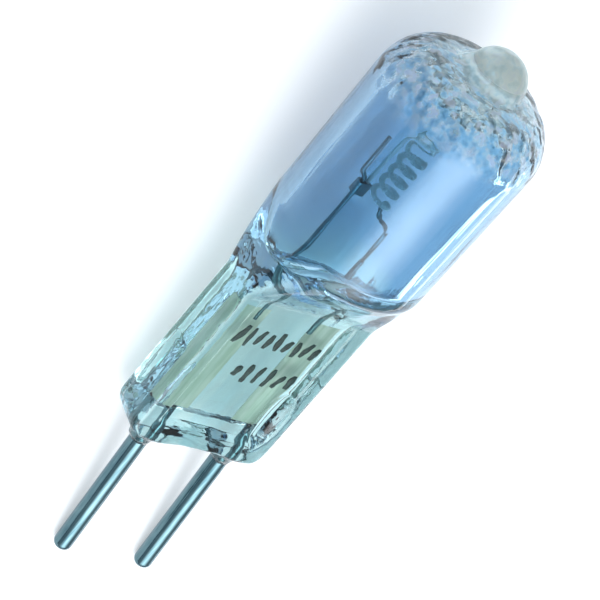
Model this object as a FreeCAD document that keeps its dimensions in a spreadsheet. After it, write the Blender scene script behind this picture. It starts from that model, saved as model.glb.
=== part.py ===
"""Halogen capsule bulb with two contact pins, lying at rest on the round of its neck and its pins.

Lengths are in millimetres. The lamp is drawn along X: the foot of the glass is at X = 0, the dome
points to +X, the flat seal faces up (+Z) and down, and its narrow sides face +Y and -Y. Each piece
is then tipped about Y, so that the pin tips and the round top of the neck come down to one level.
"""

import FreeCAD, Part

import math
import os

import Sketcher

SIZES = {
    # Flat seal, pressed from the end of the glass tube
    "seal_width": 10.5,
    "seal_thickness": 3.3,
    "seal_height": 12.6,
    "seal_corner": 0.55,
    "rim_width": 1.65,
    "foot_rim": 1.5,
    "web_depth": 0.45,
    "web_corner": 0.9,
    "web_slope": 40.0,
    # Leaf-shaped dent beside the web, once on each face
    "dent_height": 3.6,
    "dent_offset": 3.6,
    "dent_length": 4.8,
    "dent_width": 1.6,
    "dent_depth": 0.3,
    # Shallow pressing mark on each narrow side
    "mark_start": 0.7,
    "mark_length": 6.4,
    "mark_width": 1.8,
    "mark_height": 0.12,
    "mark_corner": 0.5,
    # Neck, from the seal to the round bulb
    "flare_length": 1.9,
    "flare_width": 10.8,
    "flare_thickness": 5.6,
    "flare_corner": 1.7,
    "shoulder_length": 2.6,
    # Bulb, slightly wider at its dome
    "neck_diameter": 11.1,
    "bulb_diameter": 11.45,
    "bulb_length": 11.3,
    "wall": 1.2,
    "dome_corner": 3.1,
    "dome_wall": 1.5,
    "floor_gap": 2.4,
    "floor_width": 7.8,
    "floor_thickness": 1.8,
    "floor_corner": 1.3,
    # Exhaust tip, melted shut on the dome
    "tip_diameter": 4.1,
    "tip_length": 2.2,
    "tip_blend": 0.5,
    # Contact pins, which lean a little to one side
    "pin_spacing": 6.35,
    "pin_diameter": 1.25,
    "pin_length": 11.8,
    "pin_round": 0.45,
    "pin_lean": 4.8,
    "lean_height": 5.3,
    "shank_diameter": 0.9,
    "shank_end": 3.5,
    "collar_diameter": 2.6,
    "collar_length": 1.4,
    "collar_edge": 0.12,
    # Foils sealed in the glass
    "foil_width": 2.0,
    "foil_thickness": 0.06,
    "foil_start": 2.3,
    "foil_length": 9.2,
    "foil_offset": 2.7,
    "lap_length": 1.1,
    "lap_room": 0.1,
    # Coil on the lamp's axis, and its legs
    "coil_gap": 6.2,
    "coil_offset": 0.4,
    "coil_diameter": 1.7,
    "coil_pitch": 0.88,
    "coil_turns": 5,
    "coil_wire": 0.36,
    "leg_wire": 0.26,
    "hook_rise": 0.8,
    "hook_bend": 0.45,
    "leg_bend": 1.2,
    "leg_end": 0.3,
    "elbow_margin": 0.03,
    # Inner leads and the crimp on the long one
    "support_wire": 0.3,
    "support_offset": 2.3,
    "support_step": 0.55,
    "support_bend": 0.6,
    "support_rise": 0.2,
    "short_wire": 0.42,
    "short_offset": 1.9,
    "short_reach": 1.6,
    "crimp_rise": 0.6,
    "crimp_length": 0.9,
    "crimp_gap": 0.06,
    "crimp_margin": 0.14,
}

# Angles at which the round end of the neck meets the corners of the flat end
SIDE_ANGLE = 12
FACE_ANGLE = 52
# Two places nearer than this are the same place
SAME_PLACE = 1e-4

NECK_TOP = "(Sizes.seal_height + Sizes.flare_length + Sizes.shoulder_length)"
BULB_TOP = f"({NECK_TOP} + Sizes.bulb_length)"
# The dome is rounded no further in than the foot of the exhaust tip
DOME_FLAT = "(Sizes.bulb_diameter / 2 - Sizes.tip_diameter / 2 - Sizes.tip_blend)"
DOME_CORNER = f"min(Sizes.dome_corner; {DOME_FLAT})"
DOME_TOP = f"({BULB_TOP} + {DOME_CORNER})"
FLOOR = "(Sizes.seal_height + Sizes.floor_gap)"
COIL_START = f"({FLOOR} + Sizes.coil_gap)"
COIL_RADIUS = "((Sizes.coil_diameter - Sizes.coil_wire) / 2)"
COIL_LENGTH = "(Sizes.coil_turns * Sizes.coil_pitch)"
FOIL_END = "(Sizes.foil_start + Sizes.foil_length)"
LEAD_START = f"({FOIL_END} - Sizes.lap_length)"
CRIMP_START = f"({COIL_START} + Sizes.crimp_rise - Sizes.crimp_length / 2)"
# The coil's upper leg runs beside the support wire
LEG_OFFSET = "(Sizes.support_offset - Sizes.support_wire / 2 - Sizes.crimp_gap - Sizes.leg_wire / 2)"

doc = FreeCAD.newDocument("HalogenCapsule")
sheet = doc.addObject("Spreadsheet::Sheet", "Sizes")


def fill_sheet():
    """Puts each driving size in its own named cell."""
    for row, (name, value) in enumerate(SIZES.items(), start=1):
        sheet.set(f"A{row}", name)
        sheet.set(f"B{row}", str(value))
        sheet.setAlias(f"B{row}", name)
    doc.recompute()


def number(expression):
    """Value of an expression of the sheet's sizes."""
    return float(sheet.evalExpression(expression))


def new_body(label, place):
    """Empty body that stands at the given placement."""
    body = doc.addObject("PartDesign::Body", label)
    body.Label = label
    body.Placement = place
    return body


def new_sketch(body, name, role, lift=None):
    """Sketch on one of its body's origin planes, lifted off it by an expression."""
    sketch = body.newObject("Sketcher::SketchObject", name)
    plane = next(item for item in body.Origin.OriginFeatures if item.Role == role)
    sketch.AttachmentSupport = (plane, [""])
    sketch.MapMode = "FlatFace"
    if lift:
        sketch.setExpression("AttachmentOffset.Base.z", lift)
    return sketch


def bind(sketch, *constraint, to):
    """Adds a dimension to a sketch and ties it to an expression."""
    index = sketch.addConstraint(Sketcher.Constraint(*constraint, number(to)))
    sketch.setExpression(f"Constraints[{index}]", to)


def arc_through(start, end, radius, centre_on_left):
    """Arc of less than half a turn from start to end."""
    chord = end - start
    reach = math.sqrt(max(radius**2 - (chord.Length / 2) ** 2, 0))
    aside = FreeCAD.Vector(-chord.y, chord.x, 0).normalize() * reach
    middle = (start + end) / 2
    centre = middle + aside if centre_on_left else middle - aside
    first, last = (start, end) if centre_on_left else (end, start)
    angles = [math.atan2(point.y - centre.y, point.x - centre.x) for point in (first, last)]
    return Part.ArcOfCircle(Part.Circle(centre, FreeCAD.Vector(0, 0, 1), radius), *angles)


def draw(sketch, corners, closed=True):
    """Draws a chain of lines and arcs through corners given as (x, y, edge), with x and y as expressions.

    An edge is None for a line to the next corner, or (radius, side) for an arc whose centre lies on
    that side.
    """
    places = [FreeCAD.Vector(number(x), number(y), 0) for x, y, _ in corners]
    edges = []
    for index in range(len(corners) if closed else len(corners) - 1):
        start, end = places[index], places[(index + 1) % len(corners)]
        edge = corners[index][2]
        if edge is None:
            edges.append((sketch.addGeometry(Part.LineSegment(start, end), False), 1, 2))
            continue
        radius, side = edge
        on_left = side == "left"
        arc = sketch.addGeometry(arc_through(start, end, number(radius), on_left), False)
        edges.append((arc, 1, 2) if on_left else (arc, 2, 1))
    for here, after in zip(edges, edges[1:] + edges[:1] if closed else edges[1:]):
        sketch.addConstraint(Sketcher.Constraint("Coincident", here[0], here[2], after[0], after[1]))
    ends = [(edge[0], edge[1]) for edge in edges]
    if not closed:
        ends.append((edges[-1][0], edges[-1][2]))
    for (geometry, point), (x, y, _) in zip(ends, corners):
        for axis, kind, place in ((-2, "DistanceX", x), (-1, "DistanceY", y)):
            if place == "0":
                sketch.addConstraint(Sketcher.Constraint("PointOnObject", geometry, point, axis))
            else:
                bind(sketch, kind, geometry, point, to=place)
    for (geometry, _, _), (_, _, edge) in zip(edges, corners):
        if edge is not None:
            bind(sketch, "Radius", geometry, to=edge[0])


def draw_circle(sketch, x, y, diameter):
    """Circle whose centre and diameter are expressions."""
    centre = FreeCAD.Vector(number(x), number(y), 0)
    circle = sketch.addGeometry(Part.Circle(centre, FreeCAD.Vector(0, 0, 1), number(diameter) / 2), False)
    for axis, kind, place in ((-2, "DistanceX", x), (-1, "DistanceY", y)):
        if place == "0":
            sketch.addConstraint(Sketcher.Constraint("PointOnObject", circle, 3, axis))
        else:
            bind(sketch, kind, circle, 3, to=place)
    bind(sketch, "Diameter", circle, to=diameter)


def rounded_rectangle(width, thickness, corner, middle="0"):
    """Corners of a rounded rectangle, anticlockwise from the lower right, centred at (middle, 0)."""
    far, near = f"{width} / 2", f"({width} / 2 - {corner})"
    high, low = f"{thickness} / 2", f"({thickness} / 2 - {corner})"
    bend = (corner, "left")
    return [
        (f"{middle} + {far}", f"-{low}", None),
        (f"{middle} + {far}", low, bend),
        (f"{middle} + {near}", high, None),
        (f"{middle} - {near}", high, bend),
        (f"{middle} - {far}", low, None),
        (f"{middle} - {far}", f"-{low}", bend),
        (f"{middle} - {near}", f"-{high}", None),
        (f"{middle} + {near}", f"-{high}", bend),
    ]


def divided_circle(radius):
    """A circle cut into eight arcs that answer to the eight edges of a rounded rectangle."""
    angles = [-SIDE_ANGLE, SIDE_ANGLE, FACE_ANGLE, 180 - FACE_ANGLE]
    angles += [180 - SIDE_ANGLE, 180 + SIDE_ANGLE, 180 + FACE_ANGLE, 360 - FACE_ANGLE]
    return [(f"{radius} * cos({angle})", f"{radius} * sin({angle})", (radius, "left")) for angle in angles]


def add_feature(body, kind, name, sketch, **settings):
    """Sketch-based feature with its plain settings; a setting that is text with 'Sizes.' is bound."""
    feature = body.newObject(f"PartDesign::{kind}", name)
    feature.Profile = sketch
    for key, value in settings.items():
        if isinstance(value, str) and "Sizes." in value:
            feature.setExpression(key, value)
        else:
            setattr(feature, key, value)
    doc.recompute()
    return feature


def loft(body, name, stages):
    """Solid through sections given as (height, corners) along X."""
    sketches = []
    for index, (height, corners) in enumerate(stages):
        sketch = new_sketch(body, f"{name}Section{index}", "YZ_Plane", height)
        draw(sketch, corners)
        sketches.append(sketch)
    feature = body.newObject("PartDesign::AdditiveLoft", name)
    feature.Profile = sketches[0]
    feature.Sections = sketches[1:]
    doc.recompute()
    return feature


def pin_place(side):
    """Where a pin's own frame stands in the lamp, and how it leans there."""
    seat = FreeCAD.Vector(number("Sizes.lean_height"), side * number("Sizes.pin_spacing / 2"), 0)
    lean = FreeCAD.Rotation(FreeCAD.Vector(0, 0, 1), number("Sizes.pin_lean"))
    return FreeCAD.Placement(seat, lean)


def resting_tilt():
    """Angle that brings the pin tips and the round top of the neck down to one level."""
    tip_round = number("Sizes.pin_round")
    lean = math.radians(number("Sizes.pin_lean"))
    reach = number("Sizes.lean_height + Sizes.pin_length") - tip_round
    tip_x = number("Sizes.lean_height") - reach * math.cos(lean)
    tip_z = tip_round - number("Sizes.pin_diameter / 2")
    run = number(NECK_TOP) - tip_x
    drop = number("Sizes.neck_diameter / 2") + tip_z
    return math.degrees(math.atan2(drop, run) - math.asin(tip_round / math.hypot(drop, run)))


def make_glass_blank(place):
    """The glass as a solid, before its hollow and the places of the sealed metal are taken out."""
    body = new_body("glass_blank", place)
    seal_outline = rounded_rectangle("Sizes.seal_width", "Sizes.seal_thickness", "Sizes.seal_corner")
    seal = new_sketch(body, "SealSection", "YZ_Plane")
    draw(seal, seal_outline)
    add_feature(body, "Pad", "Seal", seal, Length="Sizes.seal_height")

    flare = "(Sizes.seal_height + Sizes.flare_length)"
    flare_outline = rounded_rectangle("Sizes.flare_width", "Sizes.flare_thickness", "Sizes.flare_corner")
    neck_radius = "Sizes.neck_diameter / 2"
    neck_circle = divided_circle(neck_radius)
    loft(body, "Neck", [("Sizes.seal_height", seal_outline), (flare, flare_outline), (NECK_TOP, neck_circle)])

    bulb_radius = "Sizes.bulb_diameter / 2"
    profile = new_sketch(body, "BulbProfile", "XY_Plane")
    tip_radius = "Sizes.tip_diameter / 2"
    tip_bow = f"(({tip_radius}) ^ 2 + Sizes.tip_length ^ 2) / (2 * Sizes.tip_length)"
    draw(profile, [
        (NECK_TOP, "0", None),
        (f"{DOME_TOP} + Sizes.tip_length", "0", (tip_bow, "left")),
        (DOME_TOP, tip_radius, None),
        (DOME_TOP, f"{bulb_radius} - {DOME_CORNER}", (DOME_CORNER, "left")),
        (BULB_TOP, bulb_radius, None),
        (NECK_TOP, neck_radius, None),
    ])
    add_feature(body, "Revolution", "Bulb", profile, ReferenceAxis=(profile, ["H_Axis"]), Angle=360.0)
    add_tip_blend(body)
    for side, name in ((1, "Left"), (-1, "Right")):
        add_collar(body, name, side)
    add_seal_relief(body)
    return body


def add_tip_blend(body):
    """Soft root where the exhaust tip stands on the dome."""
    root_radius = number("Sizes.tip_diameter / 2")
    root_x = number(DOME_TOP)
    bulb = body.Tip
    for index, edge in enumerate(bulb.Shape.Edges, start=1):
        curve = edge.Curve
        if not isinstance(curve, Part.Circle) or abs(curve.Radius - root_radius) > SAME_PLACE:
            continue
        if abs(curve.Center.x - root_x) < SAME_PLACE:
            blend = body.newObject("PartDesign::Fillet", "TipBlend")
            blend.Base = (bulb, [f"Edge{index}"])
            blend.setExpression("Radius", "Sizes.tip_blend")
            doc.recompute()
            return
    raise ValueError("the root of the exhaust tip was not found")


def add_collar(body, name, side):
    """Glass drawn out along a pin, thinning to an edge round it."""
    sketch = new_sketch(body, f"Collar{name}Profile", "XY_Plane")
    sketch.AttachmentOffset = pin_place(side)
    root = "Sizes.collar_diameter / 2"
    edge = "Sizes.pin_diameter / 2 + Sizes.collar_edge"
    end = "-(Sizes.lean_height + Sizes.collar_length)"
    step = f"({root} - ({edge}))"
    bow = f"({step} ^ 2 + Sizes.collar_length ^ 2) / (2 * {step})"
    draw(sketch, [
        (end, "0", None),
        ("-Sizes.lean_height + Sizes.collar_length", "0", None),
        ("-Sizes.lean_height + Sizes.collar_length", root, None),
        ("-Sizes.lean_height", root, (bow, "right")),
        (end, edge, None),
    ])
    add_feature(body, "Revolution", f"Collar{name}", sketch, ReferenceAxis=(sketch, ["H_Axis"]), Angle=360.0)


def add_seal_relief(body):
    """Recessed web and dent on each face of the seal, and a pressing mark on each narrow side."""
    mark_middle = "(Sizes.mark_start + Sizes.mark_length / 2)"
    mark = new_sketch(body, "MarkOutline", "XZ_Plane", "-Sizes.seal_width / 2")
    draw(mark, rounded_rectangle("Sizes.mark_length", "Sizes.mark_width", "Sizes.mark_corner", mark_middle))
    mark_pad = add_feature(body, "Pad", "Mark", mark, Length="Sizes.mark_height", Reversed=True)

    web_length = "(Sizes.seal_height - Sizes.foot_rim)"
    web_middle = f"(Sizes.foot_rim + {web_length} / 2)"
    web_width = "(Sizes.seal_width - 2 * Sizes.rim_width)"
    web = new_sketch(body, "WebOutline", "XY_Plane", "Sizes.seal_thickness / 2")
    draw(web, rounded_rectangle(web_length, web_width, "Sizes.web_corner", web_middle))
    solid_before = body.Shape.Volume
    slope = number("Sizes.web_slope")
    web_pocket = add_feature(body, "Pocket", "Web", web, Length="Sizes.web_depth", TaperAngle=-slope)
    if body.Shape.Volume >= solid_before:
        raise ValueError("the web was not recessed")

    half_width, half_length = "Sizes.dent_width / 2", "Sizes.dent_length / 2"
    turn_radius = f"((({half_width}) ^ 2 + Sizes.dent_depth ^ 2) / (2 * Sizes.dent_depth))"
    bow = f"((({half_length}) ^ 2 + Sizes.dent_depth ^ 2) / (2 * Sizes.dent_depth))"
    dent = new_sketch(body, "DentProfile", "XZ_Plane", "Sizes.dent_offset")
    dent.setExpression("AttachmentOffset.Base.x", "Sizes.dent_height")
    rise = f"{turn_radius} - Sizes.dent_depth"
    dent.setExpression("AttachmentOffset.Base.y", f"Sizes.seal_thickness / 2 + {rise}")
    face = f"-({rise})"
    draw(dent, [
        (f"-{half_length}", "0", None),
        (f"-{half_length}", face, (bow, "left")),
        (half_length, face, None),
        (half_length, "0", None),
    ])
    solid_before = body.Shape.Volume
    dent_groove = add_feature(body, "Groove", "Dent", dent, ReferenceAxis=(dent, ["H_Axis"]), Angle=360.0)
    if body.Shape.Volume >= solid_before:
        raise ValueError("the dent was not cut")

    twin = body.newObject("PartDesign::PolarPattern", "HalfTurnTwins")
    twin.Originals = [mark_pad, web_pocket, dent_groove]
    twin.Axis = (next(item for item in body.Origin.OriginFeatures if item.Role == "X_Axis"), [""])
    twin.Angle = 360
    twin.Occurrences = 2
    body.Tip = twin
    doc.recompute()


def make_cavity_core(place):
    """The hollow of the bulb, pressed to a wedge where the seal closes it."""
    body = new_body("cavity_core", place)
    width = "(Sizes.flare_width - 2 * Sizes.wall)"
    thickness = "(Sizes.flare_thickness - 2 * Sizes.wall)"
    edge = "(Sizes.floor_thickness * 0.45)"
    lower_radius = "(Sizes.neck_diameter / 2 - Sizes.wall)"
    upper_radius = "(Sizes.bulb_diameter / 2 - Sizes.wall)"
    waist = "(Sizes.seal_height + Sizes.flare_length + Sizes.wall)"
    inner_top = f"({NECK_TOP} + Sizes.wall / 2)"
    stages = [
        (FLOOR, rounded_rectangle("Sizes.floor_width", "Sizes.floor_thickness", edge)),
        (waist, rounded_rectangle(width, thickness, "Sizes.floor_corner")),
        (inner_top, divided_circle(lower_radius)),
    ]
    loft(body, "Wedge", stages)
    profile = new_sketch(body, "HollowProfile", "XY_Plane")
    dome_inner = f"({DOME_TOP} - Sizes.dome_wall)"
    inner_corner = f"({DOME_CORNER} - Sizes.wall)"
    draw(profile, [
        (inner_top, "0", None),
        (dome_inner, "0", None),
        (dome_inner, f"{upper_radius} - {inner_corner}", (inner_corner, "left")),
        (f"{dome_inner} - {inner_corner}", upper_radius, None),
        (inner_top, lower_radius, None),
    ])
    add_feature(body, "Revolution", "Hollow", profile, ReferenceAxis=(profile, ["H_Axis"]), Angle=360.0)
    return body


def make_pin(label, side, tilt):
    """Contact pin: a thinner shank in the glass, flattened where the foil is welded on, and a rounded tip."""
    body = new_body(label, tilt.multiply(pin_place(side)))
    shank, shaft = "Sizes.shank_diameter / 2", "Sizes.pin_diameter / 2"
    inner = "-(Sizes.lean_height - Sizes.shank_end)"
    glass_edge = "-(Sizes.lean_height + Sizes.collar_length)"
    tip = "-(Sizes.lean_height + Sizes.pin_length)"
    profile = new_sketch(body, f"{label}_profile", "XY_Plane")
    draw(profile, [
        (tip, "0", None),
        (inner, "0", None),
        (inner, shank, None),
        (glass_edge, shank, None),
        (glass_edge, shaft, None),
        (f"{tip} + Sizes.pin_round", shaft, ("Sizes.pin_round", "left")),
        (tip, f"{shaft} - Sizes.pin_round", None),
    ])
    turned = f"{label}_turned"
    add_feature(body, "Revolution", turned, profile, ReferenceAxis=(profile, ["H_Axis"]), Angle=360.0)
    flat = new_sketch(body, f"{label}_flat", "XY_Plane", shank)
    flat_start = "-(Sizes.lean_height - Sizes.foil_start + Sizes.lap_room)"
    draw(flat, [
        (flat_start, f"-({shank})", None),
        (inner, f"-({shank})", None),
        (inner, shank, None),
        (flat_start, shank, None),
    ])
    lap_depth = "(Sizes.shank_diameter + Sizes.foil_thickness) / 2"
    add_feature(body, "Pocket", f"{label}_lap", flat, Length=lap_depth)
    return body


def make_foil(label, side, place):
    """Foil that carries the current through the seal."""
    body = new_body(label, place)
    section = new_sketch(body, f"{label}_section", "YZ_Plane", "Sizes.foil_start")
    sign = "" if side > 0 else "-"
    inner, outer = "Sizes.foil_offset - Sizes.foil_width / 2", "Sizes.foil_offset + Sizes.foil_width / 2"
    near, far = f"{sign}({inner})", f"{sign}({outer})"
    half = "Sizes.foil_thickness / 2"
    draw(section, [(near, f"-{half}", None), (far, f"-{half}", None), (far, half, None), (near, half, None)])
    add_feature(body, "Pad", f"{label}_strip", section, Length="Sizes.foil_length")
    return body


def sweep_wire(body, name, diameter, route):
    """Round wire along a route in the XY plane that starts parallel to X."""
    path = new_sketch(body, f"{name}_route", "XY_Plane")
    draw(path, route, closed=False)
    section = new_sketch(body, f"{name}_section", "YZ_Plane", route[0][0])
    draw_circle(section, route[0][1], "0", diameter)
    wire = body.newObject("PartDesign::AdditivePipe", name)
    wire.Profile = section
    wire.Spine = (path, [f"Edge{index}" for index in range(1, len(route))])
    doc.recompute()
    return wire


def cut_lap(body, name, diameter, offset):
    """Flattens the lower half of a lead where it lies on its foil."""
    flat = new_sketch(body, f"{name}_flat", "XY_Plane", "Sizes.foil_thickness / 2")
    left, right = f"{offset} - {diameter} / 2", f"{offset} + {diameter} / 2"
    draw(flat, [
        (LEAD_START, left, None),
        (FOIL_END, left, None),
        (FOIL_END, right, None),
        (LEAD_START, right, None),
    ])
    add_feature(body, "Pocket", f"{name}_lap", flat, Length=f"({diameter} + Sizes.foil_thickness) / 2")


def make_support_wire(place):
    """Long inner lead, stepping outwards above the crimp."""
    body = new_body("support_wire", place)
    offset = "Sizes.support_offset"
    outer = "(Sizes.support_offset + Sizes.support_step)"
    step_start = f"({CRIMP_START} + Sizes.crimp_length)"
    step_length = "sqrt(4 * Sizes.support_bend * Sizes.support_step - Sizes.support_step ^ 2)"
    bend = "Sizes.support_bend"
    route = [
        (LEAD_START, offset, None),
        (step_start, offset, (bend, "left")),
        (f"{step_start} + {step_length} / 2", f"{offset} + Sizes.support_step / 2", (bend, "right")),
        (f"{step_start} + {step_length}", outer, None),
        (f"{COIL_START} + {COIL_LENGTH} + Sizes.support_rise", outer, None),
    ]
    sweep_wire(body, "support", "Sizes.support_wire", route)
    cut_lap(body, "support", "Sizes.support_wire", offset)
    return body


def make_short_lead(place):
    """Short inner lead; the coil's lower leg is welded to its end."""
    body = new_body("short_lead", place)
    offset = "-Sizes.short_offset"
    section = new_sketch(body, "short_section", "YZ_Plane", LEAD_START)
    draw_circle(section, offset, "0", "Sizes.short_wire")
    length = f"{FLOOR} + Sizes.short_reach - {LEAD_START}"
    add_feature(body, "Pad", "short_rod", section, Length=length)
    cut_lap(body, "short", "Sizes.short_wire", offset)
    return body


def make_filament(tilt):
    """Coil with its two legs. Its own frame has the coil's axis on X and its lower end at the origin."""
    seat = FreeCAD.Vector(number(COIL_START), number("Sizes.coil_offset"), 0)
    body = new_body("filament", tilt.multiply(FreeCAD.Placement(seat, FreeCAD.Rotation())))
    start = new_sketch(body, "coil_section", "XY_Plane")
    draw_circle(start, "0", f"-{COIL_RADIUS}", "Sizes.coil_wire")
    coil = body.newObject("PartDesign::AdditiveHelix", "Coil")
    coil.Profile = start
    coil.ReferenceAxis = (start, ["H_Axis"])
    coil.Mode = "pitch-turns-angle"
    coil.setExpression("Pitch", "Sizes.coil_pitch")
    coil.setExpression("Turns", "Sizes.coil_turns")
    doc.recompute()

    leg_y = f"({LEG_OFFSET} - Sizes.coil_offset)"
    hook_x = f"({COIL_LENGTH} + Sizes.hook_rise)"
    bend = "Sizes.hook_bend"
    upper = [
        (f"{CRIMP_START} - {COIL_START}", leg_y, None),
        (f"{hook_x} - {bend}", leg_y, (bend, "right")),
        (hook_x, f"{leg_y} - {bend}", None),
        (hook_x, f"{bend} - {COIL_RADIUS}", (bend, "right")),
        (f"{hook_x} - {bend}", f"-{COIL_RADIUS}", None),
        (COIL_LENGTH, f"-{COIL_RADIUS}", None),
    ]
    sweep_wire(body, "upper_leg", "Sizes.leg_wire", upper)

    lead_y = "(-Sizes.short_offset - Sizes.coil_offset)"
    step = f"(-{COIL_RADIUS} - {lead_y})"
    step_length = f"sqrt(4 * Sizes.leg_bend * {step} - {step} ^ 2)"
    lead_end = f"({FLOOR} + Sizes.short_reach - {COIL_START})"
    bend = "Sizes.leg_bend"
    lower = [
        (lead_end, lead_y, None),
        (f"-Sizes.leg_end - {step_length}", lead_y, (bend, "left")),
        (f"-Sizes.leg_end - {step_length} / 2", f"{lead_y} + {step} / 2", (bend, "right")),
        ("-Sizes.leg_end", f"-{COIL_RADIUS}", None),
        ("0", f"-{COIL_RADIUS}", None),
    ]
    sweep_wire(body, "lower_leg", "Sizes.leg_wire", lower)
    for name, height in (("LowerElbow", "0"), ("UpperElbow", COIL_LENGTH)):
        add_elbow(body, name, height)
    return body


def add_elbow(body, name, height):
    """Rounds the corner where a leg meets the end of the coil."""
    sketch = new_sketch(body, f"{name}Profile", "XY_Plane")
    sketch.setExpression("AttachmentOffset.Base.x", height)
    sketch.setExpression("AttachmentOffset.Base.y", f"-{COIL_RADIUS}")
    radius = "(Sizes.coil_wire / 2 + Sizes.elbow_margin)"
    quarter = (radius, "left")
    draw(sketch, [(f"-{radius}", "0", None), (radius, "0", quarter), ("0", radius, quarter)])
    add_feature(body, "Revolution", name, sketch, ReferenceAxis=(sketch, ["H_Axis"]), Angle=360.0)


def make_crimp_blank(place):
    """Clamp block round the support wire and the coil's leg, before both are taken out of it."""
    body = new_body("crimp_blank", place)
    top = "Sizes.support_offset + Sizes.support_wire / 2 + Sizes.crimp_margin"
    bottom = f"{LEG_OFFSET} - Sizes.leg_wire / 2 - Sizes.crimp_margin"
    width = f"(({top}) - ({bottom}))"
    middle = f"(({top}) + ({bottom})) / 2"
    thickness = "(Sizes.support_wire + 2 * Sizes.crimp_margin)"
    section = new_sketch(body, "crimp_section", "YZ_Plane", CRIMP_START)
    draw(section, rounded_rectangle(width, thickness, "Sizes.crimp_margin", middle))
    add_feature(body, "Pad", "crimp_block", section, Length="Sizes.crimp_length")
    return body


def cut_out(label, blank, tools):
    """The blank with its exact places for the given pieces."""
    fused = doc.addObject("Part::MultiFuse", f"{label}_contents")
    fused.Shapes = tools
    cut = doc.addObject("Part::Cut", label)
    cut.Label = label
    cut.Base = blank
    cut.Tool = fused
    return cut


def check(pieces):
    """Stops if a feature failed or a piece is not one good solid."""
    for item in doc.Objects:
        if {"Invalid", "Error"} & set(item.State):
            raise ValueError(f"{item.Label} failed")
    for piece in pieces:
        shape = piece.Shape
        if shape.isNull() or not shape.isValid() or len(shape.Solids) != 1:
            raise ValueError(f"{piece.Label} is not one valid solid")


def main():
    fill_sheet()
    tilt = FreeCAD.Placement(
        FreeCAD.Vector(0, 0, 0), FreeCAD.Rotation(FreeCAD.Vector(0, 1, 0), -resting_tilt())
    )
    pins = [make_pin("pin_left", 1, tilt), make_pin("pin_right", -1, tilt)]
    foils = [make_foil("foil_left", 1, tilt), make_foil("foil_right", -1, tilt)]
    support = make_support_wire(tilt)
    short_lead = make_short_lead(tilt)
    filament = make_filament(tilt)
    crimp = cut_out("lead_crimp", make_crimp_blank(tilt), [support, filament])
    contents = [make_cavity_core(tilt), support, short_lead, *foils, *pins]
    envelope = cut_out("quartz_envelope", make_glass_blank(tilt), contents)
    doc.recompute()
    pieces = [envelope, filament, support, crimp, short_lead, *foils, *pins]
    check(pieces)
    os.makedirs("parts", exist_ok=True)
    for piece in pieces:
        piece.Shape.exportStep(f"parts/{piece.Label}.step")
        print(f"{piece.Label}: {piece.Shape.Volume:.3f} mm3")
    print(f"tilt {resting_tilt():.3f} degrees")


main()
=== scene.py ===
"""Looks of the halogen capsule bulb: glass, fine coil, worn ink bars, metals, floor, light and camera."""

import math

import bpy
import numpy as np
from mathutils import Matrix, Vector, noise


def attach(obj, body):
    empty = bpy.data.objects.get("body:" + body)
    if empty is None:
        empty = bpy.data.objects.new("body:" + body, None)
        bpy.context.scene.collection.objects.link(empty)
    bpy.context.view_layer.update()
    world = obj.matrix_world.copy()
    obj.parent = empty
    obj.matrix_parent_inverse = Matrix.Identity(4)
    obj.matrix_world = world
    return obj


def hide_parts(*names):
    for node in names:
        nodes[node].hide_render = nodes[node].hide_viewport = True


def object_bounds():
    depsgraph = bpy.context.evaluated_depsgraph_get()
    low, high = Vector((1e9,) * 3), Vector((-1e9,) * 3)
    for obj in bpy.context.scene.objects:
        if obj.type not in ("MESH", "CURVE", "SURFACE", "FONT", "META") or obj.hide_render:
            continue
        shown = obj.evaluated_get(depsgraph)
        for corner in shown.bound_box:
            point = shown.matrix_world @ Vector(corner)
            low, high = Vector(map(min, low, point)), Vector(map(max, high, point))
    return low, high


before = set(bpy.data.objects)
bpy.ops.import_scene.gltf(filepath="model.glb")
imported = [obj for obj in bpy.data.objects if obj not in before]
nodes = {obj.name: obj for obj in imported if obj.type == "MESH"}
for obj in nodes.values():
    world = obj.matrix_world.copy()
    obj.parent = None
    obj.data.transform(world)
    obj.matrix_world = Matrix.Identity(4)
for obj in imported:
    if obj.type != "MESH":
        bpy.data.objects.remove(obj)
cad_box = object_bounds()

# Sizes in millimetres, as in the part; X is the lamp's axis from the foot of the glass to the dome
MM = 0.001
TILT = math.radians(9.828)
SEAL_WIDTH, SEAL_THICKNESS, SEAL_HEIGHT, SEAL_CORNER = 10.5, 3.3, 12.6, 0.55
FOOT_EDGE = 0.3
RIM_WIDTH, WEB_START, WEB_END, WEB_DEPTH, WEB_SLOPE = 1.65, 1.35, 13.6, 0.45, 0.45
DENT_HEIGHT, DENT_OFFSET, DENT_LENGTH, DENT_WIDTH, DENT_DEPTH, DENT_LIP = 3.6, 3.6, 4.8, 1.6, 0.36, 0.08
MARK_START, MARK_END, MARK_WIDTH, MARK_HEIGHT = 0.7, 7.1, 1.8, 0.12
FLARE_AT, FLARE_WIDTH, FLARE_THICKNESS, FLARE_CORNER = 14.5, 10.8, 5.6, 1.7
NECK_TOP, NECK_RADIUS = 17.1, 5.55
BULB_TOP, BULB_RADIUS = 28.4, 5.725
DOME_CORNER, DOME_WALL = 3.1, 1.5
DOME_TOP = BULB_TOP + DOME_CORNER
TIP_RADIUS, TIP_LENGTH, TIP_BLEND, TIP_SHIFT = 2.05, 2.19, 0.5, -0.35
WALL = 1.2
FLOOR_AT, FLOOR_WIDTH, FLOOR_THICKNESS, FLOOR_ROUND = 15.0, 7.8, 1.8, 0.7
PIN_LEAN, LEAN_HEIGHT, PIN_SPACING = math.radians(4.8), 5.3, 6.35
COLLAR_INNER, COLLAR_OUTER, COLLAR_LENGTH, COLLAR_SWELL = 0.745, 1.30, 1.4, 0.38
COIL_START, COIL_Y, COIL_RADIUS, COIL_TURNS, COIL_PITCH = 21.2, 0.4, 0.67, 5, 0.88
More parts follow.
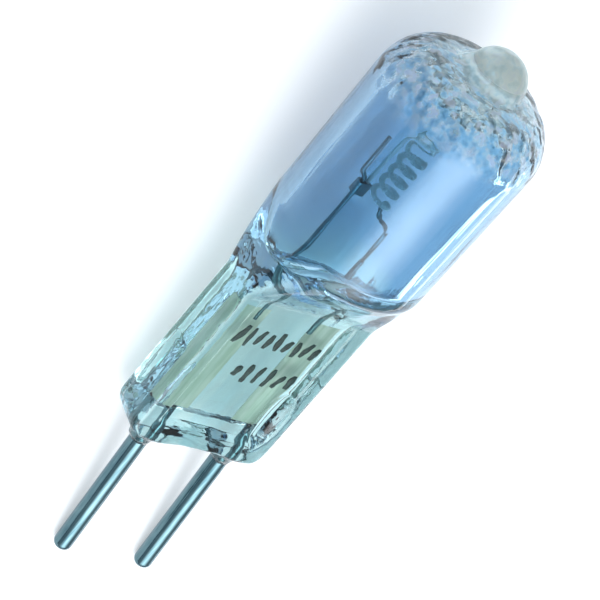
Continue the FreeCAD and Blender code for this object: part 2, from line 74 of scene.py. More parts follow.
COIL_LENGTH = COIL_TURNS * COIL_PITCH
# The coil's wire is itself a winding of a finer wire
COIL_WIRE_RADIUS, FINE_WIRE_RADIUS, FINE_TURNS = 0.18, 0.032, 190
LEG_RADIUS, LEG_END, LEG_BEND = 0.13, 0.3, 1.2
HOOK_RISE, HOOK_BEND = 0.8, 0.45
SUPPORT_OFFSET, SUPPORT_RADIUS, CRIMP_GAP, CRIMP_RISE, CRIMP_LENGTH = 2.3, 0.15, 0.06, 0.6, 0.9
SHORT_OFFSET, SHORT_LEAD_END = 1.9, 16.6

# Length by which the zones of the glass's look are measured
GLASS_LENGTH = 34.0

# Angles at which the round sections meet the corners of the flat ones
SIDE_ANGLE, FACE_ANGLE = 12, 52


def tip_over(points):
    """Points in the lamp's own frame, in millimetres, to the row frame in metres."""
    p = np.asarray(points, float)
    c, s = math.cos(TILT), math.sin(TILT)
    return np.stack([p[:, 0] * c - p[:, 2] * s, p[:, 1], p[:, 0] * s + p[:, 2] * c], 1) * MM


def turn_over(vector):
    """A direction in the lamp's own frame to the row frame."""
    x, y, z = vector
    c, s = math.cos(TILT), math.sin(TILT)
    return Vector((x * c - z * s, y, x * s + z * c))


def smooth(t):
    """Soft step from 0 to 1."""
    t = np.clip(t, 0, 1)
    return t * t * (3 - 2 * t)


# ---- mesh of the glass ----

def make_object(name, verts, faces, material, slot=None, smooth_shade=True):
    """Object of one mesh; when a slot is given, the piece rides on the lamp."""
    mesh = bpy.data.meshes.new(name)
    mesh.from_pydata([tuple(v) for v in verts], [], [tuple(f) for f in faces])
    mesh.validate()
    obj = bpy.data.objects.new(name, mesh)
    bpy.context.scene.collection.objects.link(obj)
    mesh.materials.append(material)
    if smooth_shade:
        mesh.polygons.foreach_set("use_smooth", [True] * len(mesh.polygons))
    mesh.update()
    if slot:
        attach(obj, "root")
    return obj


def ring_counts(fine):
    """Points on a narrow side, a corner and a face of the glass section."""
    return (20, 30, 64) if fine else (14, 22, 42)


def section_rectangle(width, thickness, corner, counts):
    """Rounded rectangle (y, z), anticlockwise from the lower end of the +Y side."""
    side, bend, face = counts
    far, near = width / 2, width / 2 - corner
    high, low = thickness / 2, thickness / 2 - corner
    points = []

    def line(a, b, n):
        for i in range(n):
            t = i / n
            points.append((a[0] + (b[0] - a[0]) * t, a[1] + (b[1] - a[1]) * t))

    def arc(cy, cz, start, n):
        for i in range(n):
            t = math.radians(start + 90 * i / n)
            points.append((cy + corner * math.cos(t), cz + corner * math.sin(t)))

    line((far, -low), (far, low), side)
    arc(near, low, 0, bend)
    line((near, high), (-near, high), face)
    arc(-near, low, 90, bend)
    line((-far, low), (-far, -low), side)
    arc(-near, -low, 180, bend)
    line((-near, -high), (near, -high), face)
    arc(near, -low, 270, bend)
    return np.array(points)


def section_angles(counts):
    """Angles of a round section's points, matched to those of section_rectangle."""
    side, bend, face = counts
    stops = [-SIDE_ANGLE, SIDE_ANGLE, FACE_ANGLE, 180 - FACE_ANGLE, 180 - SIDE_ANGLE, 180 + SIDE_ANGLE,
             180 + FACE_ANGLE, 360 - FACE_ANGLE, 360 - SIDE_ANGLE]
    amounts = [side, bend, face, bend, side, bend, face, bend]
    out = []
    for a, b, n in zip(stops, stops[1:], amounts):
        out += [a + (b - a) * i / n for i in range(n)]
    return np.radians(np.array(out))


def section_circle(radius, counts):
    """Circle (y, z) with its points at section_angles."""
    t = section_angles(counts)
    return np.stack([radius * np.cos(t), radius * np.sin(t)], 1)


def between(x, stages):
    """Section at height x on the curve through three sections."""
    (x0, a), (x1, b), (x2, c) = stages
    la = (x - x1) * (x - x2) / ((x0 - x1) * (x0 - x2))
    lb = (x - x0) * (x - x2) / ((x1 - x0) * (x1 - x2))
    lc = (x - x0) * (x - x1) / ((x2 - x0) * (x2 - x1))
    return a * la + b * lb + c * lc


def web_depth(x, y):
    """How far the face of the seal lies under its rim, in millimetres."""
    half = SEAL_WIDTH / 2 - RIM_WIDTH
    across = smooth((half + WEB_SLOPE * 0.5 - np.abs(y)) / WEB_SLOPE)
    along = smooth((x - WEB_START) / 0.5) * smooth((WEB_END - x) / 2.2)
    return WEB_DEPTH * across * along


def dent_depth(x, y):
    """Leaf-shaped dent with a low lip round it."""
    dx, dy = (x - DENT_HEIGHT) / (DENT_LENGTH / 2), (y + DENT_OFFSET) / (DENT_WIDTH / 2)
    leaf = 1 - dx**2 - np.abs(dy) ** 1.5
    return DENT_DEPTH * np.clip(leaf, 0, 1) ** 0.7 - DENT_LIP * np.exp(-((leaf + 0.10) / 0.14) ** 2)


def pin_centre(side):
    """Where a pin's axis crosses the foot of the glass."""
    return side * PIN_SPACING / 2 - LEAN_HEIGHT * math.tan(PIN_LEAN)


def collar_height(y, z):
    """Glass drawn out along the pins, in millimetres below the foot."""
    out = np.zeros_like(y)
    for side in (1, -1):
        r = np.hypot(y - pin_centre(side), z)
        step = COLLAR_OUTER - COLLAR_INNER
        bow = (step**2 + COLLAR_LENGTH**2) / (2 * step)
        near = np.clip(r, COLLAR_INNER, COLLAR_OUTER)
        h = COLLAR_LENGTH - np.sqrt(np.clip(bow**2 - (COLLAR_INNER + bow - near) ** 2, 0, None))
        h += COLLAR_SWELL * smooth((2.6 - r) / 1.6) * (1 - h / COLLAR_LENGTH)
        out = np.maximum(out, h)
    return out


def round_neck(rings):
    """Softens the two creases of the neck by averaging along the axis."""
    xs = np.array([r[0] for r in rings])
    shapes = np.array([r[1] for r in rings])
    rounded = shapes.copy()
    for i, x in enumerate(xs):
        reach = 0.75 * float(smooth((x - 11.8) / 1.2)) * float(smooth((20.2 - x) / 2.0))
        if reach > 0.02:
            near = np.abs(xs - x) < reach
            gap = np.gradient(xs)[near]
            weight = (1 - (np.abs(xs[near] - x) / reach) ** 2) * gap
            rounded[i] = np.tensordot(weight / weight.sum(), shapes[near], 1)
    return [(x, rounded[i]) for i, x in enumerate(xs)]


def press_seal(x, ring):
    """Presses the web, the dents and the side marks into one ring, and rounds the corners of the foot."""
    y, z = ring[:, 0].copy(), ring[:, 1].copy()
    face = smooth((np.abs(z) - (SEAL_THICKNESS / 2 - 0.25)) / 0.2)
    fade = float(smooth((x - 0.25) / 0.4))
    depth = web_depth(np.full_like(y, x), y) + dent_depth(np.full_like(y, x), np.where(z > 0, y, -y)) * fade
    ring[:, 1] = z - np.sign(z) * depth * face
    mark = smooth((x - MARK_START) / 0.3) * smooth((MARK_END - x) / 0.3)
    mark = mark * smooth((MARK_WIDTH / 2 - np.abs(z)) / 0.25)
    side = smooth((np.abs(y) - (SEAL_WIDTH / 2 - 0.1)) / 0.08)
    ring[:, 0] = y + np.sign(y) * MARK_HEIGHT * mark * side
    bow = 1 - np.sqrt(1 - np.clip(1 - x / 1.3, 0, 1) ** 2)
    ring[:, 0] -= bow * np.clip(ring[:, 0] / (SEAL_WIDTH / 2), -0.4, 0.9)


def outer_rings():
    """Rings (height, section) of the outer surface, from the foot to the tip."""
    counts = ring_counts(True)
    seal = section_rectangle(SEAL_WIDTH, SEAL_THICKNESS, SEAL_CORNER, counts)
    flare = section_rectangle(FLARE_WIDTH, FLARE_THICKNESS, FLARE_CORNER, counts)
    neck = section_circle(NECK_RADIUS, counts)
    stages = [(SEAL_HEIGHT, seal), (FLARE_AT, flare), (NECK_TOP, neck)]
    rings = []
    for t in np.linspace(0, math.pi / 2, 7)[:-1]:
        inset = FOOT_EDGE * (1 - math.sin(t))
        ring = section_rectangle(SEAL_WIDTH - 2 * inset, SEAL_THICKNESS - 2 * inset, SEAL_CORNER - inset, counts)
        rings.append((FOOT_EDGE * (1 - math.cos(t)), ring))
    for x in np.linspace(FOOT_EDGE, SEAL_HEIGHT, 92)[:-1]:
        rings.append((x, seal.copy()))
    for x in np.linspace(SEAL_HEIGHT, NECK_TOP, 34)[:-1]:
        rings.append((x, between(x, stages)))
    for x in np.linspace(NECK_TOP, BULB_TOP, 34)[:-1]:
        radius = NECK_RADIUS + (BULB_RADIUS - NECK_RADIUS) * (x - NECK_TOP) / (BULB_TOP - NECK_TOP)
        rings.append((x, section_circle(radius, counts)))
    rings = round_neck(rings)
    for x, ring in rings:
        if x < FLARE_AT:
            press_seal(x, ring)
    for x, r in dome_profile()[1:-1]:
        rings.append((x, section_circle(r, counts)))
    return rings, counts


def dome_profile():
    """Points (height, radius) over the dome and its melted tip, at even steps and slightly smoothed."""
    points = []
    for t in np.linspace(0, math.pi / 2, 22):
        points.append((BULB_TOP + DOME_CORNER * math.sin(t), BULB_RADIUS - DOME_CORNER + DOME_CORNER * math.cos(t)))
    ball = (TIP_RADIUS**2 + TIP_LENGTH**2) / (2 * TIP_LENGTH)
    centre = DOME_TOP + TIP_LENGTH - ball
    blend_x = DOME_TOP + TIP_BLEND
    blend_r = math.sqrt((ball + TIP_BLEND) ** 2 - (blend_x - centre) ** 2)
    blend_end = math.atan2(-blend_r, centre - blend_x) + 2 * math.pi
    for t in np.linspace(math.pi, blend_end, 10):
        points.append((blend_x + TIP_BLEND * math.cos(t), blend_r + TIP_BLEND * math.sin(t)))
    first = math.atan2(blend_r, blend_x - centre)
    for t in np.linspace(first, 0.03, 20)[1:]:
        points.append((centre + ball * math.cos(t), ball * math.sin(t)))
    line = np.array(points)
    run = np.r_[0, np.cumsum(np.linalg.norm(np.diff(line, axis=0), axis=1))]
    even = np.linspace(0, run[-1], 90)
    line = np.stack([np.interp(even, run, line[:, 0]), np.interp(even, run, line[:, 1])], 1)
    soft = line.copy()
    for i in range(len(line)):
        reach = min(i, len(line) - 1 - i, 6)
        soft[i] = line[i - reach:i + reach + 1].mean(0)
    return soft


def uneven(points, reach, size):
    """Slow hills over a surface, from -1 to 1, for glass that was melted by hand."""
    return np.array([noise.noise(Vector(p) / size + Vector((reach, 0, 0))) for p in points])


def melt(verts, outer):
    """Moves the melted end of the glass: the tip leans a little and both surfaces are uneven there."""
    x, y, z = verts.T
    radius = np.hypot(y, z) + 1e-6
    if outer:
        zone = smooth((x - BULB_TOP - 0.6) / 1.8)
        hill = 0.12 * uneven(verts, 3.0, 1.3) + 0.05 * uneven(verts, 5.0, 0.6)
        inward = -np.abs(hill * (1 - 0.7 * smooth((x - DOME_TOP) / 0.9))) * zone
        verts[:, 0] += inward * smooth((x - BULB_TOP - 1.0) / 3.0)
        verts[:, 1] += inward * y / radius + TIP_SHIFT * smooth((x - DOME_TOP + 0.15) / 0.9)
        verts[:, 2] += inward * z / radius
    else:
        zone = smooth((x - BULB_TOP + 1.6) / 2.2)
        fine = 0.20 * uneven(verts, 11.0, 1.1) + 0.10 * uneven(verts, 13.0, 0.5)
        verts[:, 0] += zone * (fine - 0.35 * smooth(1 - radius / 1.6))
        side = 1 + 0.035 * zone * uneven(verts, 17.0, 1.0) * smooth((radius - 0.8) / 1.5)
        verts[:, 1:] *= side[:, None]
    return verts


def inner_rings():
    """Rings (height, section) of the hollow, from its floor to the dome."""
    counts = ring_counts(False)
    floor = section_rectangle(FLOOR_WIDTH, FLOOR_THICKNESS, 0.45 * FLOOR_THICKNESS, counts)
    waist = section_rectangle(FLARE_WIDTH - 2 * WALL, FLARE_THICKNESS - 2 * WALL, 1.3, counts)
    top = section_circle(NECK_RADIUS - WALL, counts)
    waist_x, top_x = FLARE_AT + WALL, NECK_TOP + WALL / 2
    stages = [(FLOOR_AT, floor), (waist_x, waist), (top_x, top)]
    rings = [(FLOOR_AT, floor * share) for share in (0.1, 0.25, 0.4)]
    for t in np.linspace(0, math.pi / 2, 8)[:-1]:
        x = FLOOR_AT + FLOOR_ROUND * (1 - math.cos(t))
        section = between(x, stages)
        half = section.max(0)
        rings.append((x, section * (half - FLOOR_ROUND * (1 - math.sin(t))) / half))
    for x in np.linspace(FLOOR_AT + FLOOR_ROUND, top_x, 30)[:-1]:
        rings.append((x, between(x, stages)))
    corner = DOME_CORNER - WALL
    end = DOME_TOP - DOME_WALL
    upper = BULB_RADIUS - WALL
    for x in np.linspace(top_x, end - corner, 30)[:-1]:
        radius = NECK_RADIUS - WALL + (upper - NECK_RADIUS + WALL) * (x - top_x) / (end - corner - top_x)
        rings.append((x, section_circle(radius, counts)))
    for t in np.linspace(0, math.pi / 2, 14):
        radius = upper - corner + corner * math.cos(t)
        rings.append((end - corner + corner * math.sin(t), section_circle(radius, counts)))
    for r in np.linspace(upper - corner, 0.2, 16)[1:]:
        rings.append((end, section_circle(r, counts)))
    return rings


def rings_to_mesh(rings, first_index, flip):
    """Points and four-sided faces of a skin over rings of equal length."""
    n = len(rings[0][1])
    verts = np.concatenate([np.c_[np.full(n, x), ring] for x, ring in rings])
    faces = []
    for i in range(len(rings) - 1):
        a, b = first_index + i * n, first_index + (i + 1) * n
        for k in range(n):
            m = (k + 1) % n
            quad = (a + k, a + m, b + m, b + k)
            faces.append(quad if flip else quad[::-1])
    return verts, faces


def foot_patch(rim, first_index, rim_start, counts):
    """Grid over the foot of the seal, bounded by the first ring."""
    side, bend, face = counts
    half = bend // 2
    n = len(rim)
    across, up = side + 2 * half, face + 2 * half
    start = -half
    right = [(start + i) % n for i in range(across + 1)]
    top = [(start + across + i) % n for i in range(up + 1)]
    left = [(start + across + up + across - i) % n for i in range(across + 1)]
    bottom = [(start + 2 * across + up + up - i) % n for i in range(up + 1)]
    # right runs up at +Y, left runs up at -Y, top and bottom run from +Y to -Y
    index = np.zeros((across + 1, up + 1), int)
    verts = []
    for i in range(across + 1):
        v = i / across
        for j in range(up + 1):
            u = j / up
            if i == 0 or i == across or j == 0 or j == up:
                k = right[i] if j == 0 else left[i] if j == up else bottom[j] if i == 0 else top[j]
                index[i, j] = rim_start + k
                continue
            p = (1 - u) * rim[right[i]] + u * rim[left[i]] + (1 - v) * rim[bottom[j]] + v * rim[top[j]]
            p = p - ((1 - u) * (1 - v) * rim[right[0]] + u * (1 - v) * rim[left[0]]
                     + (1 - u) * v * rim[right[-1]] + u * v * rim[left[-1]])
            index[i, j] = first_index + len(verts)
            verts.append(p)
    verts = np.array(verts)
    y, z = verts[:, 0], verts[:, 1]
    x = -collar_height(y, z)
    faces = []
    for i in range(across):
        for j in range(up):
            faces.append((index[i, j], index[i, j + 1], index[i + 1, j + 1], index[i + 1, j]))
    return np.c_[x, y, z], faces


def glass_mesh():
    """Closed mesh of the glass: outer surface, foot and hollow."""
    rings, counts = outer_rings()
    verts, faces = rings_to_mesh(rings, 0, flip=True)
    low = verts[:, 0] < FOOT_EDGE
    verts[low, 0] -= collar_height(verts[low, 1], verts[low, 2]) * (1 - verts[low, 0] / FOOT_EDGE)
    apex = len(verts)
    n = len(rings[0][1])
    last = apex - n
    faces += [(last + k, last + (k + 1) % n, apex) for k in range(n)]
    verts = melt(np.vstack([verts, [[DOME_TOP + TIP_LENGTH, 0, 0]]]), outer=True)
    extra, patch = foot_patch(rings[0][1], len(verts), 0, counts)
    verts, faces = np.vstack([verts, extra]), faces + patch
    rings = inner_rings()
    base = len(verts)
    inner, inner_faces = rings_to_mesh(rings, base, flip=False)
    n = len(rings[0][1])
    verts = np.vstack([verts, inner])
    end = len(verts)
    verts = np.vstack([verts, [[rings[0][0], 0, 0], [rings[-1][0], 0, 0]]])
    verts[base:] = melt(verts[base:], outer=False)
    faces += inner_faces
    faces += [(base + k, base + (k + 1) % n, end) for k in range(n)]
    last = base + (len(rings) - 1) * n
    faces += [(last + (k + 1) % n, last + k, end + 1) for k in range(n)]
    return tip_over(verts), faces


# ---- materials ----

class Nodes:
    """Short way to write the nodes of a new material, or of a light or world."""

    def __init__(self, name, owner=None, kind="Material"):
        self.owner = owner or bpy.data.materials.new(name)
        self.owner.use_nodes = True
        self.tree = self.owner.node_tree
        self.tree.nodes.clear()
        self.out = self.tree.nodes.new("ShaderNodeOutput" + kind)

    def surface(self, shader):
        """Ends the nodes with a shader and gives back the material, light or world."""
        self.tree.links.new(shader.outputs[0], self.out.inputs["Surface"])
        return self.owner

    def add(self, kind, inputs=None, **settings):
        """New node with its inputs set or linked."""
        node = self.tree.nodes.new("ShaderNode" + kind)
        for key, value in settings.items():
            setattr(node, key, value)
        for key, value in (inputs or {}).items():
            if isinstance(value, bpy.types.NodeSocket):
                self.tree.links.new(value, node.inputs[key])
            else:
                node.inputs[key].default_value = value
        return node

    def math(self, operation, a, b=0.0, c=0.0):
        return self.add("Math", {0: a, 1: b, 2: c}, operation=operation).outputs[0]

    def noise(self, scale, detail):
        """Noise in the lamp's own frame, with its scale per metre on each axis."""
        inputs = {"Vector": self.lamp_point(scale), "Scale": 1.0, "Detail": detail}
        return self.add("TexNoise", inputs).outputs["Fac"]

    def ramp(self, fac, stops):
        """Colour or grey value along fac, from stops of (place, colour) or (place, number)."""
        node = self.add("ValToRGB", {"Fac": fac})
        elements = node.color_ramp.elements
        while len(elements) < len(stops):
            elements.new(0.5)
        for element, (place, colour) in zip(elements, stops):
            element.position = place
            element.color = (colour, colour, colour, 1) if isinstance(colour, (int, float)) else (*colour[:3], 1)
        return node.outputs["Color"]

    def mix(self, fac, a, b):
        return self.add("Mix", {0: fac, 6: a, 7: b}, data_type="RGBA").outputs[2]

    def lamp_point(self, scale):
        """Object coordinates turned back into the lamp's own frame, times a scale per axis."""
        coords = self.add("TexCoord").outputs["Object"]
        turned = self.add("Mapping", {"Vector": coords, "Rotation": (0, TILT, 0)}).outputs[0]
        return self.add("VectorMath", {0: turned, 1: scale}, operation="MULTIPLY").outputs[0]


def srgb(r, g, b):
    """Colour given as screen values from 0 to 255."""
    def line(c):
        c = c / 255
        return c / 12.92 if c <= 0.04045 else ((c + 0.055) / 1.055) ** 2.4
    return (line(r), line(g), line(b), 1.0)


def make_glass():
    """Blue quartz: greener in the pressed seal, mottled and milky where the dome and tip were melted; over the
    melted dome the mottle also paints white highlight specks and darker teal shade specks.
    """
    m = Nodes("blue_quartz")
    x = m.add("SeparateXYZ", {0: m.lamp_point((1000, 1000, 1000))}).outputs[0]
    streaks = m.noise((60, 700, 700), 3.0)
    cloud = m.noise((220, 260, 260), 2.0)
    mottle = m.noise((1900, 1900, 1900), 3.0)
    dimple = m.noise((700, 700, 700), 2.0)

    # Zones along the axis, as shares of the glass's length
    place = m.math("DIVIDE", x, GLASS_LENGTH)
    seal_place = m.math("DIVIDE", m.math("ADD", x, m.math("MULTIPLY", cloud, 2.0)), GLASS_LENGTH)
    melt_place = m.math("DIVIDE", m.math("ADD", x, m.math("MULTIPLY", cloud, 3.0)), GLASS_LENGTH)
    seal_zone = m.ramp(seal_place, [(0.0, 1), (0.44, 1), (0.51, 0), (1.0, 0)])
    tip_zone = m.ramp(place, [(0.0, 0), (0.90, 0), (0.96, 1)])
    dome_zone = m.ramp(place, [(0.0, 0), (0.83, 0), (0.88, 1), (0.92, 0.5)])
    melt_zone = m.ramp(melt_place, [(0.0, 0), (0.875, 0), (0.94, 1)])

    bulb = m.mix(cloud, srgb(152, 192, 218), srgb(182, 212, 232))
    seal = m.mix(streaks, srgb(156, 212, 218), srgb(232, 246, 234))
    tip = m.mix(cloud, srgb(236, 248, 226), srgb(252, 255, 238))
    # Melted dome mottle: milky glass, with white specks painted in as highlights and darker teal specks painted in
    # as shade of the crackled glass
    melt_mottle_painted_highlights = m.ramp(mottle, [(0.34, srgb(110, 160, 176)), (0.46, srgb(200, 226, 236)),
                             (0.53, srgb(255, 255, 242)), (0.66, srgb(226, 226, 244))])
    colour = m.mix(m.math("MULTIPLY", melt_zone, 0.8), m.mix(seal_zone, bulb, seal), melt_mottle_painted_highlights)
    colour = m.mix(m.math("MULTIPLY", tip_zone, 0.7), colour, tip)

    # Less transmission in the milky spots of the dome and tip, which also makes the painted highlight specks show
    # white
    milky_glass_and_painted_glints = m.math("MULTIPLY", melt_zone, m.ramp(mottle, [(0.44, 0), (0.62, 0.42)]))
    milky_glass_and_painted_glints = m.math("MAXIMUM", milky_glass_and_painted_glints, m.math("MULTIPLY", tip_zone, 0.55))
    rough = m.math("ADD", m.math("MULTIPLY", cloud, 0.03), m.math("MULTIPLY", tip_zone, 0.30))
    dimpled = m.math("ADD", m.math("MULTIPLY", dome_zone, 3.5), m.math("MULTIPLY", seal_zone, 0.9))
    ripple = m.math("ADD", m.math("MULTIPLY", streaks, 0.4), m.math("MULTIPLY", dimple, dimpled))
    bump = m.add("Bump", {"Height": ripple, "Strength": 0.25, "Distance": 0.0004}).outputs[0]

    depth = m.add("VolumeAbsorption", {"Color": (0.30, 0.64, 0.88, 1), "Density": 75.0})
    m.tree.links.new(depth.outputs[0], m.out.inputs["Volume"])
    return m.surface(m.add("BsdfPrincipled", {
        "Base Color": colour, "Transmission Weight": m.math("SUBTRACT", 1.0, milky_glass_and_painted_glints), "IOR": 1.46,
        "Roughness": rough, "Normal": bump}))


def make_metal(name, dark, light, roughness, grain, streak, bump_strength=0.15, metallic=1.0):
    """Metal with drawing lines along the lamp and a slow change of tone."""
    m = Nodes(name)
    lines = m.noise((grain * 0.06, grain, grain), 4.0)
    slow = m.noise((250, 500, 500), 2.0)
    tone = m.math("ADD", m.math("MULTIPLY", lines, streak), m.math("MULTIPLY", slow, 1 - streak))
    bump = m.add("Bump", {"Height": lines, "Strength": bump_strength, "Distance": 0.00003}).outputs[0]
    return m.surface(m.add("BsdfPrincipled", {
        "Base Color": m.ramp(tone, [(0.3, dark), (0.7, light)]), "Metallic": metallic,
        "Roughness": m.math("MULTIPLY_ADD", lines, 0.1, roughness), "Normal": bump}))


def make_ink():
    """Dark ink with worn, paler spots."""
    m = Nodes("stamp_ink")
    worn = m.noise((5000, 5000, 5000), 3.0)
    colour = m.ramp(worn, [(0.3, srgb(12, 28, 28)), (0.7, srgb(44, 76, 70))])
    return m.surface(m.add("BsdfPrincipled", {"Base Color": colour, "Roughness": 0.65}))


glass = make_glass()
pin_metal = make_metal("drawn_pin_metal", srgb(68, 98, 108), srgb(112, 140, 146), 0.1, 9000, 0.6, 0.06)
lead_metal = make_metal("oxidised_lead_metal", srgb(60, 92, 98), srgb(110, 144, 148), 0.3, 12000, 0.5)
coil_metal = make_metal("coil_tungsten", srgb(206, 232, 228), srgb(244, 252, 248), 0.5, 20000, 0.4, 0.15, 0.25)
foil_metal = make_metal("sealed_foil", srgb(194, 212, 184), srgb(255, 255, 242), 0.45, 3600, 0.6, 0.6, 0.4)
ink = make_ink()

for name, material in {"pin_left": pin_metal, "pin_right": pin_metal, "foil_left": foil_metal,
                       "foil_right": foil_metal, "support_wire": lead_metal, "lead_crimp": lead_metal,
                       "short_lead": lead_metal}.items():
    nodes[name].data.materials.clear()
    nodes[name].data.materials.append(material)

glass_points, glass_faces = glass_mesh()
envelope = make_object("clear_envelope", glass_points, glass_faces, glass, "quartz_glass")
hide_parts("quartz_envelope")


# ---- filament: a fine winding that is coiled again ----

def tube(path, radius, sides):
    """Closed tube along a path of points, in millimetres."""
    p = np.asarray(path, float)
    tangent = np.gradient(p, axis=0)
    tangent /= np.linalg.norm(tangent, axis=1)[:, None]
    normal = np.zeros_like(p)
    start = np.array([0.0, 0.0, 1.0])
    for i, t in enumerate(tangent):
        start = start - t * (start @ t)
        start /= np.linalg.norm(start)
        normal[i] = start
    other = np.cross(tangent, normal)
    a = np.linspace(0, 2 * math.pi, sides, endpoint=False)[None, :, None]
    verts = (p[:, None] + radius * (np.cos(a) * normal[:, None] + np.sin(a) * other[:, None])).reshape(-1, 3)
    faces = []
    for i in range(len(p) - 1):
        for k in range(sides):
            m = (k + 1) % sides
            faces.append((i * sides + k, i * sides + m, (i + 1) * sides + m, (i + 1) * sides + k))
    faces.append(tuple(range(sides))[::-1])
    faces.append(tuple((len(p) - 1) * sides + k for k in range(sides)))
    return verts, faces


def arc_points(centre, radius, start, end, steps):
    """Points of an arc in the plane through the lamp's axis."""
    return [(centre[0] + radius * math.cos(t), centre[1] + radius * math.sin(t), 0)
            for t in np.linspace(start, end, steps)]


def coiled_coil():
    """Centre line of the fine wire, which winds round the line of the coil."""
    steps = 2600
    t = np.linspace(0, 1, steps)
    angle = 2 * math.pi * COIL_TURNS * t
    centre = np.stack([COIL_START + COIL_LENGTH * t, COIL_Y - COIL_RADIUS * np.cos(angle),
                       COIL_RADIUS * np.sin(angle)], 1)
    tangent = np.gradient(centre, axis=0)
    tangent /= np.linalg.norm(tangent, axis=1)[:, None]
    outward = np.stack([np.zeros(steps), -np.cos(angle), np.sin(angle)], 1)
    side = np.cross(tangent, outward)
    phase = np.linspace(0, 2 * math.pi * FINE_TURNS, steps)[:, None]
    return centre + (COIL_WIRE_RADIUS - FINE_WIRE_RADIUS) * (np.cos(phase) * outward + np.sin(phase) * side)


def upper_leg():
    """Centre line of the leg from the crimp, beside the support wire, round the hook to the coil's far end."""
    leg_y = SUPPORT_OFFSET - SUPPORT_RADIUS - CRIMP_GAP - LEG_RADIUS
    coil_y = COIL_Y - COIL_RADIUS
    coil_end = COIL_START + COIL_LENGTH
    hook_x = coil_end + HOOK_RISE
    line = [(COIL_START + CRIMP_RISE - CRIMP_LENGTH / 2, leg_y, 0), (hook_x - 1.2, leg_y, 0)]
    line += arc_points((hook_x - HOOK_BEND, leg_y - HOOK_BEND), HOOK_BEND, math.pi / 2, 0, 8)
    line += arc_points((hook_x - HOOK_BEND, coil_y + HOOK_BEND), HOOK_BEND, 0, -math.pi / 2, 8)
    return line + [(coil_end, coil_y, 0)]


def lower_leg():
    """Centre line of the leg from the short lead, through two bends, to the coil's near end."""
    coil_y = COIL_Y - COIL_RADIUS
    step = coil_y + SHORT_OFFSET
    reach = math.sqrt(4 * LEG_BEND * step - step**2)
    bend_end = COIL_START - LEG_END
    bend_start = bend_end - reach
    half = math.acos(1 - step / 2 / LEG_BEND)
    line = [(SHORT_LEAD_END, -SHORT_OFFSET, 0)]
    line += [(bend_start + LEG_BEND * math.sin(t), -SHORT_OFFSET + LEG_BEND * (1 - math.cos(t)), 0)
             for t in np.linspace(0, half, 8)]
    line += [(bend_end - LEG_BEND * math.sin(t), coil_y - LEG_BEND * (1 - math.cos(t)), 0)
             for t in np.linspace(half, 0, 8)]
    return line + [(COIL_START, coil_y, 0)]


coil_verts, coil_faces = tube(coiled_coil(), FINE_WIRE_RADIUS, 6)
fine_coil = make_object("fine_coil", tip_over(coil_verts), coil_faces, coil_metal, "coil_metal")
upper_verts, upper_faces = tube(upper_leg(), LEG_RADIUS, 12)
make_object("coil_upper_leg", tip_over(upper_verts), upper_faces, coil_metal, "coil_metal")
lower_verts, lower_faces = tube(lower_leg(), LEG_RADIUS, 12)
make_object("coil_lower_leg", tip_over(lower_verts), lower_faces, lead_metal, "coil_metal")
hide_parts("filament")


# ---- stamped ink: plain worn bars, no lettering ----

def ink_bar(x, y, length, width, angle):
    """Thin patch on the front web, in the lamp's frame."""
    z = SEAL_THICKNESS / 2 - WEB_DEPTH
    cols = 7
    verts, faces = [], []
    # Lower and upper side of the patch, above the glass
    for layer in (0.004, 0.012):
        for i in range(cols + 1):
            t = i / cols
            w = width * (0.85 + 0.15 * math.sin(9 * t + x * 5)) * (0.6 if i in (0, cols) else 1)
            for s in (-0.5, 0.5):
                px = (t - 0.5) * length
                py = s * w + 0.03 * math.sin(5 * t + y * 3)
                verts.append((x + px * math.cos(angle) - py * math.sin(angle),
                              y + px * math.sin(angle) + py * math.cos(angle), z + layer))
    n = 2 * (cols + 1)
    for i in range(cols):
        a = 2 * i
        faces.append((a, a + 1, a + 3, a + 2))
        faces.append((n + a, n + a + 2, n + a + 3, n + a + 1))
        faces.append((a, a + 2, n + a + 2, n + a))
        faces.append((a + 1, n + a + 1, n + a + 3, a + 3))
    faces.append((0, n, n + 1, 1))
    faces.append((n - 2, n - 1, 2 * n - 1, 2 * n - 2))
    return verts, faces


def bar_rows():
    """Two rows of plain bars, drawn from one seed."""
    draw = np.random.default_rng(7)
    bars = []
    for x, first, last, count in ((9.5, 2.9, -2.9, 9), (6.7, 1.2, -2.9, 6)):
        for y in np.linspace(first, last, count):
            bars.append((x + draw.uniform(-0.12, 0.12), y, draw.uniform(0.9, 1.7), draw.uniform(0.36, 0.58),
                         draw.uniform(-0.40, 0.10)))
    return bars


ink_verts, ink_faces = [], []
for bar in bar_rows():
    v, f = ink_bar(*bar)
    offset = len(ink_verts)
    ink_verts += v
    ink_faces += [tuple(k + offset for k in face) for face in f]
make_object("ink_bars", tip_over(ink_verts), ink_faces, ink, "quartz_glass")


# ---- floor, light and camera ----

def make_floor():
    """Wide plain floor at the lamp's lowest level; it is white where it is looked at."""
    m = Nodes("white_floor")
    path = m.add("LightPath")
    seen = m.math("MAXIMUM", path.outputs["Is Camera Ray"], m.math(
        "MAXIMUM", path.outputs["Is Glossy Ray"], path.outputs["Is Transmission Ray"]))
    diffuse = m.add("BsdfDiffuse", {"Color": (0.77, 0.80, 0.83, 1)})
    glow = m.add("Emission", {"Color": (1, 1, 1, 1), "Strength": m.math("MULTIPLY", seen, 0.38)})
    material = m.surface(m.add("AddShader", {0: diffuse.outputs[0], 1: glow.outputs[0]}))
    lowest = cad_box[0].z
    half = 1.5
    verts = [(-half, -half, lowest), (half, -half, lowest), (half, half, lowest), (-half, half, lowest)]
    make_object("floor", verts, [(0, 1, 2, 3)], material, smooth_shade=False)


make_floor()


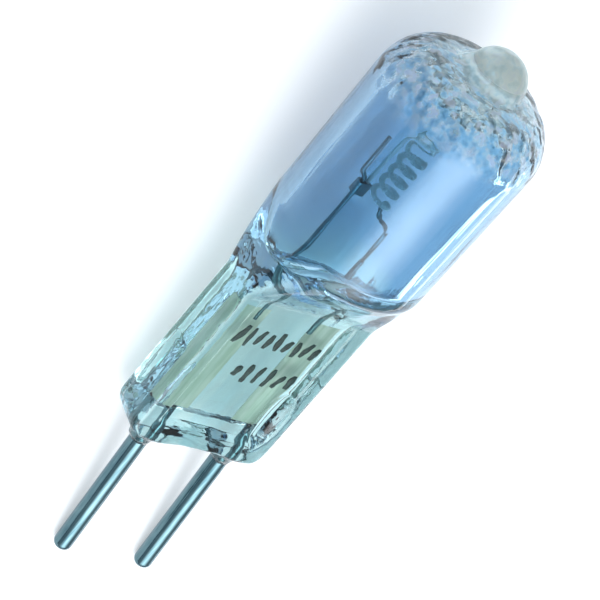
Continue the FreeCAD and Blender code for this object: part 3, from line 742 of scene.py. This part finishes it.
def make_world():
    """Pale sky that is darker at the horizon, which gives glass and metal their dark edges."""
    world = bpy.data.worlds.new("studio")
    bpy.context.scene.world = world
    m = Nodes("studio", world, "World")
    height = m.add("SeparateXYZ", {0: m.add("TexCoord").outputs["Generated"]}).outputs[2]
    sky = m.ramp(height, [(0.0, (0.36, 0.48, 0.57)), (0.25, (0.68, 0.77, 0.84)), (1.0, (0.76, 0.80, 0.84))])
    m.surface(m.add("Background", {"Color": sky, "Strength": 0.75}))


make_world()


def softbox(name, angle, width, length, strength, distance=0.6):
    """Soft-edged area light; angle 0 is over the camera and 90 to its lower right, in degrees."""
    data = bpy.data.lights.new(name, "AREA")
    data.shape, data.size, data.size_y = "RECTANGLE", length, width
    data.energy = strength * math.pi * width * length
    m = Nodes(name, data, "Light")
    # The light falls off from the middle of the box to its edges
    place = m.add("SeparateXYZ", {0: m.add("NewGeometry").outputs["Parametric"]})
    fall = []
    for k in (0, 1):
        edge = m.math("MULTIPLY_ADD", m.math("ABSOLUTE", m.math("SUBTRACT", place.outputs[k], 0.5)), -2.0, 1.0)
        fall.append(m.add("MapRange", {0: edge, 2: 1.0}, interpolation_type="SMOOTHSTEP").outputs[0])
    m.surface(m.add("Emission", {"Strength": m.math("MULTIPLY", fall[0], fall[1])}))
    a = math.radians(angle)
    across = np.array((0, 0.693, 0.721)) * math.cos(a) + np.array((0, -0.721, 0.693)) * math.sin(a)
    away = turn_over(across * 0.871 + np.array((-0.491, 0, 0)))
    long_side = turn_over((1, 0, 0))
    long_side = (long_side - away * long_side.dot(away)).normalized()
    turn = Matrix((long_side, away.cross(long_side), away)).transposed()
    light = bpy.data.objects.new(name, data)
    light.matrix_world = Matrix.Translation((cad_box[0] + cad_box[1]) / 2 + away * distance) @ turn.to_4x4()
    light.visible_camera = False
    bpy.context.scene.collection.objects.link(light)


softbox("overhead_light", 44, 0.80, 1.20, 5.2)
softbox("low_light", 128, 0.16, 0.80, 4.4)


def make_camera():
    """Camera at the place and with the lens that fit the photograph's outline."""
    alpha, phi, roll = math.radians(29.397), math.radians(-43.853), math.radians(49.170)
    distance, lens_px, shift_u, shift_v, pivot = 250.76, 4175.98, 1.502, -0.0756, 14.0
    ca, sa, cf, sf = math.cos(alpha), math.sin(alpha), math.cos(phi), math.sin(phi)
    u = turn_over((ca, sf * sa, -sa * cf))
    v = turn_over((0, -cf, -sf))
    w = turn_over((sa, -sf * ca, ca * cf))
    axis_point = Vector(tip_over([[pivot, 0, 0]])[0])
    right = u * math.cos(roll) + v * math.sin(roll)
    up = u * math.sin(roll) - v * math.cos(roll)
    data = bpy.data.cameras.new("camera")
    data.sensor_width = 36.0
    data.lens = lens_px / 600 * 36.0
    data.clip_start, data.clip_end = 0.01, 10
    obj = bpy.data.objects.new("camera", data)
    bpy.context.scene.collection.objects.link(obj)
    place = axis_point + (w * distance - u * shift_u - v * shift_v) * MM
    turn = Matrix((right, up, w)).transposed()
    obj.matrix_world = Matrix.Translation(place) @ turn.to_4x4()
    bpy.context.scene.camera = obj


make_camera()

bpy.context.scene.view_settings.view_transform = "Standard"
